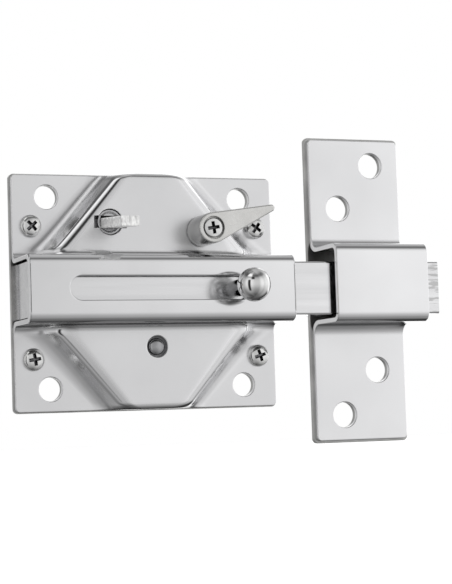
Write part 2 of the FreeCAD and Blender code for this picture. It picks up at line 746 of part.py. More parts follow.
os.makedirs(OUT, exist_ok=True)
for name, make in PARTS.items():
    shape = make()
    print(name, "solids", len(shape.Solids), "valid", shape.isValid(), "volume", round(shape.Volume, 1))
    shape.exportStep(os.path.join(OUT, name + ".step"))
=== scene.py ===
import json
import math

import bmesh
import bpy
from mathutils import Matrix, Vector


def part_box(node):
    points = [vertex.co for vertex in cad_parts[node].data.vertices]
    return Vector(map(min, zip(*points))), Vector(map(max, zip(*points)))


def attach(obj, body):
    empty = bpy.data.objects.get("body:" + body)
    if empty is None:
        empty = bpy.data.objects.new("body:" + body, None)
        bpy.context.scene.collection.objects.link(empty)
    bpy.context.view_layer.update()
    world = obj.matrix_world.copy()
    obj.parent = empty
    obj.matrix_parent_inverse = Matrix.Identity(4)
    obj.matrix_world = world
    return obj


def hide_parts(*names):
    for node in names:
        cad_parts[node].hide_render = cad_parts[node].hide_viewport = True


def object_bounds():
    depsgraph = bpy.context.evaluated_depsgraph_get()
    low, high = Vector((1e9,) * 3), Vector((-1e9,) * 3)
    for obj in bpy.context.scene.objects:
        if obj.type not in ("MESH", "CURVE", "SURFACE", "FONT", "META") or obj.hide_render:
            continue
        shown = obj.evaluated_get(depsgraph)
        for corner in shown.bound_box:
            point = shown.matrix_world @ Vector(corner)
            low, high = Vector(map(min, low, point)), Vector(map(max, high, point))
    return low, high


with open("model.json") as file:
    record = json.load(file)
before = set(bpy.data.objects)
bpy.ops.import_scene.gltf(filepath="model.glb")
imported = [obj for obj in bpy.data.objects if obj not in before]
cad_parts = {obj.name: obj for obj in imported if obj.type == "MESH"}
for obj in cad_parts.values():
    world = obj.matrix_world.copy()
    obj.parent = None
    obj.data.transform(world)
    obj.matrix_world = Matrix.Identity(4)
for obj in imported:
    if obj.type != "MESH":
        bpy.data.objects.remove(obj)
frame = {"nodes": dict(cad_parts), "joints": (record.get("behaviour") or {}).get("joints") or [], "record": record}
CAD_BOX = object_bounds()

# The sliding-bolt lock's looks. Lengths below are millimetres in the lock's own terms:
# x along the bolt, h the height out of the door (towards -Y), z up. MM turns them into metres.
MM = 0.001

NODES = frame["nodes"]
RECORD = frame["record"]
BODY_OF = {node: body for body, members in RECORD["behaviour"]["bodies"].items() for node in members}
JOINTS = {joint["name"]: joint for joint in frame["joints"]}

# ---- sizes that the boxes of the CAD nodes give
COVER_LOW, COVER_HIGH = (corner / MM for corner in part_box("case_cover"))
STRIKE_LOW, STRIKE_HIGH = (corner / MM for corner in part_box("strike_bracket"))
PLATE_H = -COVER_HIGH.y
CASE_HALF_W = COVER_HIGH.x
CASE_HALF_H = COVER_HIGH.z
CHANNEL_H = -COVER_LOW.y
STRIKE_X = (STRIKE_LOW.x + STRIKE_HIGH.x) / 2
STRIKE_Z = (STRIKE_LOW.z + STRIKE_HIGH.z) / 2
STRIKE_HALF_W = (STRIKE_HIGH.x - STRIKE_LOW.x) / 2
STRIKE_HALF_H = (STRIKE_HIGH.z - STRIKE_LOW.z) / 2

# ---- sheet metal
SHEET_T = 2.0
FLANGE_H = PLATE_H + SHEET_T
DOME_H = 15.5
SHEET_RIM = 0.45
CHANNEL_RIM = 0.8
CORNER_R = 2.0
# shares of the sheet's thickness by which the hollow's surfaces lie inside the outer ones
FLANGE_SHARE = 1.2
WALL_SHARE = 0.62
BEND_SHARE = 0.8
# how far the hollow's cutter reaches past the pressing's ends, and how low it goes
HOLLOW_PAST = 1.5
HOLLOW_REAR_H = PLATE_H - SHEET_T - 0.6

# ---- dome and channel of the case cover
FOOT_END = 19.0
FOOT_SIDE = 51.0
TOP_END = 13.4
TOP_SIDE = 42.8
FOOT_CORNER_R = 2.0
TOP_CORNER_R = 9.0
WALL_RUN = 5.2
FOOT_FILLET = 7.0
SHOULDER_R = 6.0
TOP_EDGE_R = 2.6
FLARE = 3.6
FLARE_REACH = 3.2
CHANNEL_Z = 14.2
CHANNEL_R = 4.2
JUNCTION_R = 3.3
# the bends are polished from the first height up, and satin below the second
POLISH_FULL_H = 12.5
POLISH_GONE_H = 8.5

# ---- holes in the cover
SLOT_LEFT = -41.2
SLOT_RIGHT = 39.0
SLOT_Z = 5.0
MOUNT_X = 43.4
MOUNT_Z = 40.5
MOUNT_R = 5.1
SCREW_X = 50.5
SCREW_Z = 28.0
SCREW_HOLE_R = 2.7
HUB_X = JOINTS["key_turn"]["pos_m"][0] / MM
HUB_Z = JOINTS["key_turn"]["pos_m"][2] / MM
HUB_HOLE_R = 5.5
HUB_SLOT_X = 7.0
HUB_SLOT_Z = 2.55
LEVER_X = JOINTS["lever_turn"]["pos_m"][0] / MM
LEVER_Z = JOINTS["lever_turn"]["pos_m"][2] / MM
SPINDLE_HOLE_R = 4.06
BUTTON_X = 0.5
BUTTON_Z = -23.7
BUTTON_HOLE_R = 4.5
FLANGE_HOLE_REAR_H = 1.0
# how far the mouths of holes are rounded
WIDE_RIM = 0.5
MOUNT_RIM = 0.4
SPINDLE_RIM = 0.3
SCREW_RIM = 0.2

# ---- strike
STRIKE_BOX_UP = 18.4
STRIKE_BOX_DOWN = 16.0
STRIKE_BOX_H = 31.0
STRIKE_BEND_R = 4.4
STRIKE_FOOT_R = 5.0
STRIKE_HOLE_R = 5.7
STRIKE_HOLE_X = 8.4
STRIKE_HOLE_FAR = 56.0
STRIKE_HOLE_NEAR = 36.3

# ---- knob
STEM_LOW, STEM_HIGH = (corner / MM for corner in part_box("knob_stem"))
BALL_LOW, BALL_HIGH = (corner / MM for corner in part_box("knob_ball"))
KNOB_X = (BALL_LOW.x + BALL_HIGH.x) / 2
BALL_R = (BALL_HIGH.x - BALL_LOW.x) / 2
BALL_H = -BALL_LOW.y - BALL_R
STEM_R = (STEM_HIGH.x - STEM_LOW.x) / 2
STEM_STRAIGHT = 2.6
NECK_R = 2.9
NECK_SUNK = 0.8
BOLT_FRONT_H = 26.0
BOLT_CUT_X = 124.0

# ---- hub and connecting bar
HUB_R = 5.3
HUB_REAR_H = 0.6
HUB_FRONT_H = 14.6
HUB_RIM = 0.3
HUB_DISH = 1.0
HUB_FLANGE_R = 7.6
HUB_FLANGE_REAR_H = 4.6
HUB_FLANGE_FRONT_H = 6.4
HUB_FLANGE_EDGE = 0.2
BAR_SLOT_SIDE = 0.1
BAR_SLOT_ABOVE = 0.62
BAR_W = 7.8
BAR_T = 4.3
BAR_FRONT_H = 43.0
BAR_REAR_H = 0.6
BAR_PIVOT_H = 7.6
BAR_DROOP = math.radians(4.5)
BAR_CORNER_R = 0.45
BAR_WAVE = 0.11
RIDGE_PITCH = 2.0
RIDGE_DEPTH = 0.32

# ---- safety lever
LEVER_BOSS_R = 6.6
LEVER_TIP_R = 1.6
LEVER_REACH = 27.9
LEVER_ANGLE = math.radians(18.0)
LEVER_FRONT_H = 31.3
LEVER_REAR_H = 16.0
LEVER_TIP_T = 4.0
LEVER_STEP = 1.5
LEVER_RECESS_R = 4.7
LEVER_RECESS_D = 3.1
LEVER_RECESS_RIM = 0.35
LEVER_EDGE_R = 0.7
LEVER_SCREW_HEAD_R = 4.1
LEVER_SCREW_EDGE_R = 0.5
LEVER_SCREW_SINK = 0.3
LEVER_SCREW_TURN = 0.15

# ---- cross-head screws, turned as they were left, in radians
SCREW_TURNS = (0.15, 0.75, 0.3, 0.95)
HEAD_R = 4.8
HEAD_H = 3.0
HEAD_SKIRT = 0.5
CROSS_HALF_L = 2.6
CROSS_HALF_W = 0.72
CROSS_D = 2.2

# ---- push button
BUTTON_R = 3.6
BUTTON_FRONT_H = 15.5
BUTTON_CROWN = 1.5
BUTTON_FLANGE_R = 5.4
BUTTON_FLANGE_REAR_H = 12.2
BUTTON_FLANGE_FRONT_H = 13.4
BUTTON_STEM_R = 2.0
BUTTON_STEM_REAR_H = 5.3
BUTTON_EDGE = 0.1

# ---- edges of the CAD nodes that are only softened
PLATE_EDGE_R = 0.35
BOLT_EDGE_R = 0.3

# ---- camera: distance and angles about the point it looks at
CAMERA_TARGET = Vector((32.4, -15.0, -0.8)) * MM
CAMERA_DISTANCE = 0.7523
CAMERA_AZIMUTH = math.radians(21.11)
CAMERA_RISE = math.radians(4.13)
CAMERA_ROLL = math.radians(1.84)
CAMERA_LENS = 107.94

# ---- studio, with the floor's sizes in metres
FLOOR_BELOW = 0.09
FLOOR_HALF = 6.0
FLOOR_LIGHT = 2.2
TENT_STRENGTH = 1.53


def point(x, h, z):
    """A place in the lock's own terms, as metres in the frame."""
    return Vector((x * MM, -h * MM, z * MM))


def spread(low, high, count):
    """Evenly spaced values from low to high, both included, in count steps."""
    return [low + (high - low) * i / count for i in range(count + 1)]


def quarter(count):
    """Angles of a quarter turn in count steps, in radians."""
    return [math.radians(a) for a in spread(0, 90, count)]


def lerp(a, b, t):
    return a + (b - a) * t


# ---- mesh helpers

def placed(name, data):
    """A new object in the scene around some data."""
    obj = bpy.data.objects.new(name, data)
    bpy.context.scene.collection.objects.link(obj)
    return obj


def make_object(name, verts, faces):
    mesh = bpy.data.meshes.new(name)
    mesh.from_pydata([tuple(v) for v in verts], [], faces)
    bm = bmesh.new()
    bm.from_mesh(mesh)
    bmesh.ops.remove_doubles(bm, verts=bm.verts, dist=1e-7)
    bmesh.ops.dissolve_degenerate(bm, edges=bm.edges, dist=1e-7)
    bmesh.ops.recalc_face_normals(bm, faces=bm.faces)
    bm.to_mesh(mesh)
    bm.free()
    return placed(name, mesh)


def skin(name, rings, caps=True):
    """A piece through rings of places, each with the same number of them."""
    count = len(rings[0])
    verts = [place for ring in rings for place in ring]
    faces = []
    for j in range(len(rings) - 1):
        for i in range(count):
            k = (i + 1) % count
            faces.append((j * count + i, j * count + k, (j + 1) * count + k, (j + 1) * count + i))
    if caps:
        last = (len(rings) - 1) * count
        faces.append(tuple(range(count)))
        faces.append(tuple(range(last, last + count)))
    return make_object(name, verts, faces)


def bake_modifiers(obj):
    """Replaces an object's mesh by what its modifiers make of it."""
    graph = bpy.context.evaluated_depsgraph_get()
    mesh = bpy.data.meshes.new_from_object(obj.evaluated_get(graph), depsgraph=graph)
    obj.modifiers.clear()
    obj.data = mesh


def cut_with(obj, cutters, operation="DIFFERENCE"):
    """Boolean of an object with closed cutters, which are then thrown away."""
    for cutter in cutters:
        boolean = obj.modifiers.new("cut", "BOOLEAN")
        boolean.operation = operation
        boolean.solver = "MANIFOLD"
        boolean.object = cutter
        bpy.context.view_layer.update()
        bake_modifiers(obj)
        bpy.data.objects.remove(cutter)
    return obj


def smooth(obj, angle=32.0):
    """Smooth shading that stays crisp at real edges and flat on flat faces."""
    mesh = obj.data
    mesh.polygons.foreach_set("use_smooth", [True] * len(mesh.polygons))
    mesh.set_sharp_from_angle(angle=math.radians(angle))
    weighted = obj.modifiers.new("weighted_normals", "WEIGHTED_NORMAL")
    weighted.keep_sharp = True
    weighted.weight = 100
    bake_modifiers(obj)
    return obj


def finish_piece(obj, material, nodes, angle=32.0):
    """Shades a piece, gives it its material and puts it on the body of the nodes it stands for."""
    smooth(obj, angle)
    obj.data.materials.clear()
    obj.data.materials.append(material)
    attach(obj, BODY_OF[nodes[0]])
    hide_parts(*nodes)
    return obj


def lathe(name, x, z, profile, segments=64):
    """A turned piece about an axis that stands out of the door at x, z.
    The profile runs from the axis to the axis as (radius, height)."""
    turns = [2 * math.pi * i / segments for i in range(segments)]
    rings = []
    for radius, height in profile:
        rings.append([point(x + radius * math.cos(a), height, z + radius * math.sin(a)) for a in turns])
    return skin(name, rings, caps=False)


def arc(cx, cy, radius, start, end, steps):
    """Points of an arc from start to end degrees."""
    return [
        (cx + radius * math.cos(math.radians(a)), cy + radius * math.sin(math.radians(a)))
        for a in spread(start, end, steps)
    ]


def circle_outline(x, z, radius, segments=64):
    def outline(grow):
        turns = [2 * math.pi * i / segments for i in range(segments)]
        return [(x + (radius + grow) * math.cos(a), z + (radius + grow) * math.sin(a)) for a in turns]
    return outline


def stadium_outline(x0, x1, z, half, segments=32):
    def outline(grow):
        points = []
        for centre, start in ((x1 - half, -90), (x0 + half, 90)):
            points += arc(centre, z, half + grow, start, start + 180, segments)
        return points
    return outline


def prism_through(name, outline, levels):
    """A closed prism through levels of (height, grow), each the same outline grown by a bit."""
    return skin(name, [[point(x, height, z) for x, z in outline(grow)] for height, grow in levels])


def hole(outline, low, face, rim):
    """Cutter for a hole whose mouth is rounded where it meets the face."""
    levels = [(low, 0.0)]
    for turn in quarter(5):
        levels.append((face - rim + rim * math.sin(turn), rim * (1 - math.cos(turn))))
    levels.append((face + 2.0, rim))
    return prism_through("cutter", outline, levels)


# ---- pressed sheet

def pressed_solid(name, grid, arch, rear):
    """A closed solid under a grid of (x, h, z) rows. Its sides drop to the height rear,
    except between the two rows of arch, where the ends of the rows close flat."""
    rows = len(grid)
    columns = len(grid[0])
    verts = []
    faces = []
    index = {}

    def vert(key, place):
        if key not in index:
            index[key] = len(verts)
            verts.append(point(*place))
        return index[key]

    for j in range(rows):
        for i in range(columns):
            vert((j, i), grid[j][i])
    for j in range(rows - 1):
        for i in range(columns - 1):
            faces.append((index[j, i], index[j, i + 1], index[j + 1, i + 1], index[j + 1, i]))

    def foot(j, i):
        x, _, z = grid[j][i]
        return vert(("foot", round(x, 4), round(z, 4)), (x, rear, z))

    for i in range(columns - 1):
        for j in (0, rows - 1):
            faces.append((index[j, i], foot(j, i), foot(j, i + 1), index[j, i + 1]))
    outline = [foot(0, i) for i in range(columns)]
    for end in (columns - 1, 0):
        for j in range(rows - 1):
            if arch[0] <= j < arch[1]:
                continue
            faces.append((index[j, end], foot(j, end), foot(j + 1, end), index[j + 1, end]))
        mouth = [index[j, end] for j in range(arch[0], arch[1] + 1)]
        faces.append(tuple(mouth + [foot(arch[1], end), foot(arch[0], end)]))
    right = [foot(j, columns - 1) for j in range(rows) if j <= arch[0] or j >= arch[1]]
    top = [foot(rows - 1, i) for i in reversed(range(columns))]
    left = [foot(j, 0) for j in reversed(range(rows)) if j <= arch[0] or j >= arch[1]]
    ring = []
    for v in outline + right + top + left:
        if v not in ring:
            ring.append(v)
    faces.append(tuple(ring))
    return make_object(name, verts, faces)


def rounded_off(radius, depth):
    """How far a rounded edge has sunk below its face at a depth in from the side."""
    if depth >= radius:
        return 0.0
    return radius - math.sqrt(max(radius ** 2 - (radius - depth) ** 2, 0.0))


def closed_row(right, edge, rim, normal, steps):
    """A row of (x, h, z) from the middle outwards, with the rim rounded over at its end and the
    whole mirrored to the left. The normal is (z, h)."""
    nz, nh = normal
    last_h, z = right[-1][1:]
    if rim:
        right[-1] = (edge - rim, last_h, z)
        for turn in quarter(steps)[1:]:
            sink = rim * (1 - math.cos(turn))
            right.append((edge - rim + rim * math.sin(turn), last_h - sink * nh, z - sink * nz))
    left = [(-x, h, there) for x, h, there in reversed(right[1:])]
    return left + right


def corner_line(end, side, top, waist, radius):
    """x of a slanted side of the hexagon at a given z, with its top corner rounded."""
    length = math.hypot(side - end, top - waist)
    nx = (top - waist) / length
    nz = (side - end) / length
    centre_x = end - radius * (1 - nz) / nx
    tangent_z = top - radius + radius * nz

    def x_at(z):
        if z <= tangent_z:
            return end + (top - z) / (top - waist) * (side - end)
        rise = min(z - (top - radius), radius)
        return centre_x + math.sqrt(max(radius ** 2 - rise ** 2, 0.0))

    return x_at


def wall_profile(width, height, foot_r, shoulder_r):
    """Section of the dome's wall from the flange (0, 0) up to the shoulder (width, height),
    as distance inwards and height, with both bends as arcs."""
    slope = math.atan2(height, width)
    foot_t = foot_r * math.tan(slope / 2)
    shoulder_t = shoulder_r * math.tan(slope / 2)
    points = []
    for a in spread(0, slope, 9):
        points.append((-foot_t + foot_r * math.sin(a), foot_r * (1 - math.cos(a))))
    for a in spread(slope, 0, 9):
        across = width + shoulder_t - shoulder_r * math.sin(a)
        points.append((across, height - shoulder_r * (1 - math.cos(a))))
    return points


def cover_grid(inset, grow_x):
    """Rows of the cover's outer surface, or of its hollow when inset is the sheet's thickness."""
    top = CASE_HALF_H - inset
    waist = CHANNEL_Z - inset
    flange = FLANGE_H - inset * FLANGE_SHARE
    dome = DOME_H - inset
    channel = CHANNEL_H - inset
    draw_in = inset * WALL_SHARE
    rim = SHEET_RIM if inset == 0 else 0.0
    end_rim = CHANNEL_RIM if inset == 0 else 0.0
    bend = CHANNEL_R - inset * BEND_SHARE
    junction = JUNCTION_R + inset * BEND_SHARE
    top_edge = TOP_EDGE_R - inset * BEND_SHARE
    half_w = CASE_HALF_W + grow_x
    foot_line = corner_line(FOOT_END - draw_in, FOOT_SIDE - draw_in, top, CHANNEL_Z, FOOT_CORNER_R)
    top_line = corner_line(TOP_END - draw_in, TOP_SIDE - draw_in, top, CHANNEL_Z, TOP_CORNER_R)
    profile = wall_profile(WALL_RUN, dome - flange, FOOT_FILLET, SHOULDER_R)
    start = waist + junction
    finer_from = top - TOP_CORNER_R * 0.45
    z_values = [z for z in spread(start, top - top_edge, 22) if z < finer_from]
    z_values += spread(finer_from, top - top_edge, 5)
    z_values += [top - top_edge * (1 - math.sin(turn)) for turn in quarter(9)[1:]]

    def row(z):
        """One row over flange, wall and dome at a z above the channel, from x = 0 outwards."""
        foot_x = foot_line(z) + FLARE * math.exp(-(z - waist) / FLARE_REACH)
        top_x = top_line(z)
        depth = top - z
        drop = rounded_off(top_edge, depth)
        rim_drop = rounded_off(rim, depth)
        edge = half_w
        if inset == 0:
            edge -= rounded_off(CORNER_R, depth)
        spots = []
        inner = [(foot_x + (s / WALL_RUN) * (top_x - foot_x), g) for s, g in reversed(profile)]
        for x in spread(0, inner[0][0], 12)[:-1]:
            spots.append((x, dome - drop))
        for x, g in inner:
            share = g / (dome - flange)
            spots.append((min(x, edge - rim), flange + g - drop * share - rim_drop * (1 - share)))
        for x in spread(spots[-1][0], edge - rim, 8)[1:]:
            spots.append((x, flange - rim_drop))
        return spots, edge

    def close_row(spots, edge, z, normal, round_over=rim):
        return closed_row([(x, h, z) for x, h in spots], edge, round_over, normal, 5)

    rows = []
    for z in reversed(z_values):
        spots, edge = row(z)
        rows.append(close_row(spots, edge, z, (0.0, 1.0)))
    base, edge = row(start)
    for turn in quarter(6)[1:]:
        lifted = [(x, h + junction * (1 - math.cos(turn))) for x, h in base]
        z = start - junction * math.sin(turn)
        rows.append(close_row(lifted, edge, z, (math.sin(turn), math.cos(turn))))
    arch_from = len(rows) - 1
    wall_foot = [(x, h + junction) for x, h in base]
    for share in (0.34, 0.67):
        lifted = [(x, lerp(h, channel - bend, share)) for x, h in wall_foot]
        rows.append(close_row(lifted, edge, waist, (1.0, 0.0), lerp(rim, end_rim, share)))
    for turn in quarter(12):
        h_here = channel - bend + bend * math.sin(turn)
        level = [(x, h_here) for x, h in base]
        z = waist - bend * (1 - math.cos(turn))
        rows.append(close_row(level, edge, z, (math.cos(turn), math.sin(turn)), end_rim))
    for z in spread(waist - bend, 0, 4)[1:]:
        rows.append(close_row([(x, channel) for x, h in base], edge, z, (0.0, 1.0), end_rim))
    mirrored = [[(x, h, -z) for x, h, z in r] for r in reversed(rows[:-1])]
    total = rows + mirrored
    arch = (arch_from, len(total) - 1 - arch_from)
    return total, arch


def hub_outline(grow):
    """Round hole with a slot across it, the same number of points at any growth."""
    radius = HUB_HOLE_R + grow
    half_x = HUB_SLOT_X + grow
    half_z = HUB_SLOT_Z + grow
    lean = math.degrees(math.asin(half_z / radius))
    points = []
    for side in (0, 180):
        points += arc(0, 0, radius, side + lean, side + 180 - lean, 28)
        sign = -1 if side == 0 else 1
        points += [(sign * half_x, -sign * half_z), (sign * half_x, sign * half_z)]
    return [(HUB_X + x, HUB_Z + z) for x, z in points]


def four(x, z):
    """The same place in all four corners of the case."""
    return [(sx * x, sz * z) for sx in (-1, 1) for sz in (-1, 1)]


def build_cover():
    grid, arch = cover_grid(0.0, 0.0)
    cover = pressed_solid("case_cover_shell", grid, arch, PLATE_H)
    hollow_grid, hollow_arch = cover_grid(SHEET_T, HOLLOW_PAST)
    cutters = [pressed_solid("hollow", hollow_grid, hollow_arch, HOLLOW_REAR_H)]
    slot = stadium_outline(SLOT_LEFT, SLOT_RIGHT, 0, SLOT_Z)
    cutters.append(hole(slot, CHANNEL_H - SHEET_T - 1, CHANNEL_H, WIDE_RIM))
    spindle = circle_outline(LEVER_X, LEVER_Z, SPINDLE_HOLE_R)
    button = circle_outline(BUTTON_X, BUTTON_Z, BUTTON_HOLE_R)
    for outline, rim in ((hub_outline, SPINDLE_RIM), (spindle, SPINDLE_RIM), (button, WIDE_RIM)):
        cutters.append(hole(outline, DOME_H - SHEET_T - 1, DOME_H, rim))
    for x, z in four(MOUNT_X, MOUNT_Z):
        cutters.append(hole(circle_outline(x, z, MOUNT_R), FLANGE_HOLE_REAR_H, FLANGE_H, MOUNT_RIM))
    for x, z in four(SCREW_X, SCREW_Z):
        cutters.append(hole(circle_outline(x, z, SCREW_HOLE_R, 32), FLANGE_HOLE_REAR_H, FLANGE_H, SCREW_RIM))
    cut_with(cover, cutters)
    return finish_piece(cover, material_of("polished_nickel"), ["case_cover"])


# ---- strike

def strike_half(inset, half):
    """Half of the bracket's profile from its far end to the middle, as (z, h, normal z, normal h)."""
    flange = FLANGE_H - inset * FLANGE_SHARE
    face = STRIKE_BOX_H - inset
    bend = STRIKE_BEND_R - inset
    foot = STRIKE_FOOT_R + inset
    far = STRIKE_HALF_H
    section = []
    for turn in reversed(quarter(8)):
        section.append((far - CORNER_R * (1 - math.sin(turn)), flange, 0.0, 1.0))
    for z in spread(far - CORNER_R, half + foot, 8)[1:]:
        section.append((z, flange, 0.0, 1.0))
    for turn in quarter(8)[1:]:
        z = half + foot * (1 - math.sin(turn))
        section.append((z, flange + foot * (1 - math.cos(turn)), math.sin(turn), math.cos(turn)))
    arch_from = len(section) - 1
    for h in spread(flange + foot, face - bend, 3)[1:-1]:
        section.append((half, h, 1.0, 0.0))
    for turn in quarter(10):
        z = half - bend * (1 - math.cos(turn))
        section.append((z, face - bend + bend * math.sin(turn), math.cos(turn), math.sin(turn)))
    for z in spread(half - bend, 0, 4)[1:]:
        section.append((z, face, 0.0, 1.0))
    return section, arch_from


def strike_grid(inset, grow_x):
    """Rows of the bracket's outer surface, or of its hollow when inset is the sheet's thickness."""
    rim = SHEET_RIM if inset == 0 else 0.0
    half_w = STRIKE_HALF_W + grow_x
    far = STRIKE_HALF_H
    upper, arch_from = strike_half(inset, STRIKE_BOX_UP - inset)
    lower = strike_half(inset, STRIKE_BOX_DOWN - inset)[0]
    whole = upper + [(-z, h, -nz, nh) for z, h, nz, nh in reversed(lower[:-1])]
    rows = []
    for z, h, nz, nh in whole:
        depth = far - abs(z)
        edge = half_w
        if inset == 0:
            edge -= rounded_off(CORNER_R, depth)
        level = h - rounded_off(rim, depth)
        right = [(x, level, z) for x in spread(0, edge - rim, 6)]
        row = closed_row(right, edge, rim, (nz, nh), 4)
        rows.append([(x + STRIKE_X, out, up + STRIKE_Z) for x, out, up in row])
    return rows, (arch_from, len(whole) - 1 - arch_from)


def build_strike():
    grid, arch = strike_grid(0.0, 0.0)
    strike = pressed_solid("strike_bracket_shell", grid, arch, PLATE_H)
    hollow_grid, hollow_arch = strike_grid(SHEET_T, HOLLOW_PAST)
    cutters = [pressed_solid("hollow", hollow_grid, hollow_arch, HOLLOW_REAR_H)]
    for turn in (1, -1):
        for z in (STRIKE_HOLE_FAR, -STRIKE_HOLE_NEAR):
            place = circle_outline(STRIKE_X + turn * STRIKE_HOLE_X, STRIKE_Z + turn * z, STRIKE_HOLE_R)
            cutters.append(hole(place, FLANGE_HOLE_REAR_H, FLANGE_H, MOUNT_RIM))
    cut_with(strike, cutters)
    return finish_piece(strike, polished_nickel("strike_nickel", 0.20), ["strike_bracket"])


# ---- knob

def build_knob():
    ball_start = math.degrees(math.asin(NECK_R / BALL_R))
    ball = [(BALL_R * math.sin(math.radians(a)), BALL_H - BALL_R * math.cos(math.radians(a)))
            for a in spread(ball_start, 180, 60)]
    shell = lathe("knob_ball_turned", KNOB_X, 0, [(0.0, ball[0][1])] + ball, 96)
    finish_piece(shell, material_of("chrome_knob"), ["knob_ball"])
    neck_h = ball[0][1]
    foot_h = BOLT_FRONT_H - 1
    straight_h = BOLT_FRONT_H + STEM_STRAIGHT
    stem = [(0.0, foot_h), (STEM_R, foot_h), (STEM_R, straight_h)]
    for t in spread(0, 1, 16)[1:]:
        ease = t * t * (3 - 2 * t)
        stem.append((lerp(STEM_R, NECK_R, ease), lerp(straight_h, neck_h, t)))
    stem += [(NECK_R, neck_h + NECK_SUNK), (0.0, neck_h + NECK_SUNK)]
    neck = lathe("knob_stem_turned", KNOB_X, 0, stem, 72)
    # painted shade: the stem gets a dark material for the shade under the ball
    finish_piece(neck, stem_painted_shade(), ["knob_stem"])


# ---- screws

def cross_cutter(x, z, face_h, turn):
    """Tapered cross, wider at the mouth than at its floor, as a driver leaves it."""
    def outline(grow):
        a, b = CROSS_HALF_L + grow, CROSS_HALF_W + grow
        star = [(a, -b), (a, b), (b, b), (b, a), (-b, a), (-b, b),
                (-a, b), (-a, -b), (-b, -b), (-b, -a), (b, -a), (b, -b)]
        c, s = math.cos(turn), math.sin(turn)
        return [(x + p * c - q * s, z + p * s + q * c) for p, q in star]
    depths = ((CROSS_D, -0.42), (CROSS_D * 0.35, -0.12), (0.1, 0.0), (-1.0, 0.22))
    return prism_through("cutter", outline, [(face_h - depth, grow) for depth, grow in depths])


def crown(radius, base_h, height, fullness):
    """Profile of a domed face from its edge to the axis; a low fullness makes it flatter on top."""
    points = []
    for t in spread(0, 1, 14)[1:]:
        turn = t * math.pi / 2
        points.append((radius * math.cos(turn) ** fullness, base_h + height * math.sin(turn)))
    points[-1] = (0.0, base_h + height)
    return points


def pan_head(x, z, turn):
    """A domed screw head with a cross recess."""
    base_h = FLANGE_H - 0.02
    skirt_h = base_h + HEAD_SKIRT
    profile = [(0.0, base_h), (HEAD_R - 0.15, base_h), (HEAD_R, base_h + 0.15), (HEAD_R, skirt_h)]
    profile += crown(HEAD_R, skirt_h, HEAD_H - HEAD_SKIRT, 0.62)
    head = lathe("head", x, z, profile, 72)
    return cut_with(head, [cross_cutter(x, z, base_h + HEAD_H, turn)])


def paint_recess_shade(screws, places, face_h):
    """Paints shade onto the walls and floors of the cross recesses with a dark material of their own."""
    screws.data.materials.append(recess_painted_shade())
    for face in screws.data.polygons:
        for x, z, turn in places:
            east = face.center.x / MM - x
            north = face.center.z / MM - z
            along = abs(east * math.cos(turn) + north * math.sin(turn))
            across = abs(north * math.cos(turn) - east * math.sin(turn))
            in_length = max(along, across) < CROSS_HALF_L - 0.05
            in_width = min(along, across) < CROSS_HALF_W + 0.05
            sunk = -face.center.y / MM < face_h - 0.22 or face.normal.y > -0.5
            if in_length and in_width and sunk:
                face.material_index = 1


def join(objects, name):
    """One object from several, with their meshes side by side."""
    bm = bmesh.new()
    for part in objects:
        bm.from_mesh(part.data)
        bpy.data.objects.remove(part)
    mesh = bpy.data.meshes.new(name)
    bm.to_mesh(mesh)
    bm.free()
    return placed(name, mesh)


def build_case_screws():
    places = [(x, z, turn) for (x, z), turn in zip(four(SCREW_X, SCREW_Z), SCREW_TURNS)]
    screws = join([pan_head(*place) for place in places], "case_screw_heads")
    finish_piece(screws, material_of("bright_screws"), ["case_screws"], 28.0)
    paint_recess_shade(screws, places, FLANGE_H + HEAD_H - 0.5)


def build_lever_screw():
    floor = LEVER_FRONT_H - LEVER_RECESS_D
    top = LEVER_FRONT_H - LEVER_SCREW_SINK
    radius = LEVER_SCREW_HEAD_R
    edge_r = LEVER_SCREW_EDGE_R
    profile = [(0.0, floor), (radius, floor), (radius, top - edge_r)]
    profile += arc(radius - edge_r, top - edge_r, edge_r, 0, 90, 5)[1:]
    profile += [(radius * 0.6, top + 0.06), (radius * 0.25, top + 0.12), (0.0, top + 0.12)]
    head = lathe("lever_screw_head", LEVER_X, LEVER_Z, profile, 72)
    cut_with(head, [cross_cutter(LEVER_X, LEVER_Z, top + 0.1, LEVER_SCREW_TURN)])
    finish_piece(head, material_of("bright_screws"), ["lever_screw"], 28.0)
    paint_recess_shade(head, [(LEVER_X, LEVER_Z, LEVER_SCREW_TURN)], top + 0.1)


# ---- safety lever

def lever_outline(grow):
    """Teardrop outline of the lever about its pivot, before it is turned, as (along, across)."""
    boss = LEVER_BOSS_R + grow
    tip = LEVER_TIP_R + grow
    lean = math.degrees(math.asin((boss - tip) / LEVER_REACH))
    points = arc(0, 0, boss, 90 - lean, 270 + lean, 48)
    points += arc(LEVER_REACH, 0, tip, -90 + lean, 90 - lean, 12)
    return points


def lever_rear(along):
    """Height of the lever's underside at a distance along it: full under the boss, thin at the tip."""
    thin_from = LEVER_BOSS_R + LEVER_STEP
    if along <= thin_from - 1.0:
        return LEVER_REAR_H
    tip_h = LEVER_FRONT_H - LEVER_TIP_T
    share = (along - thin_from) / (LEVER_REACH + LEVER_TIP_R - thin_from)
    return lerp(LEVER_REAR_H + LEVER_STEP, tip_h, max(share, 0.0))


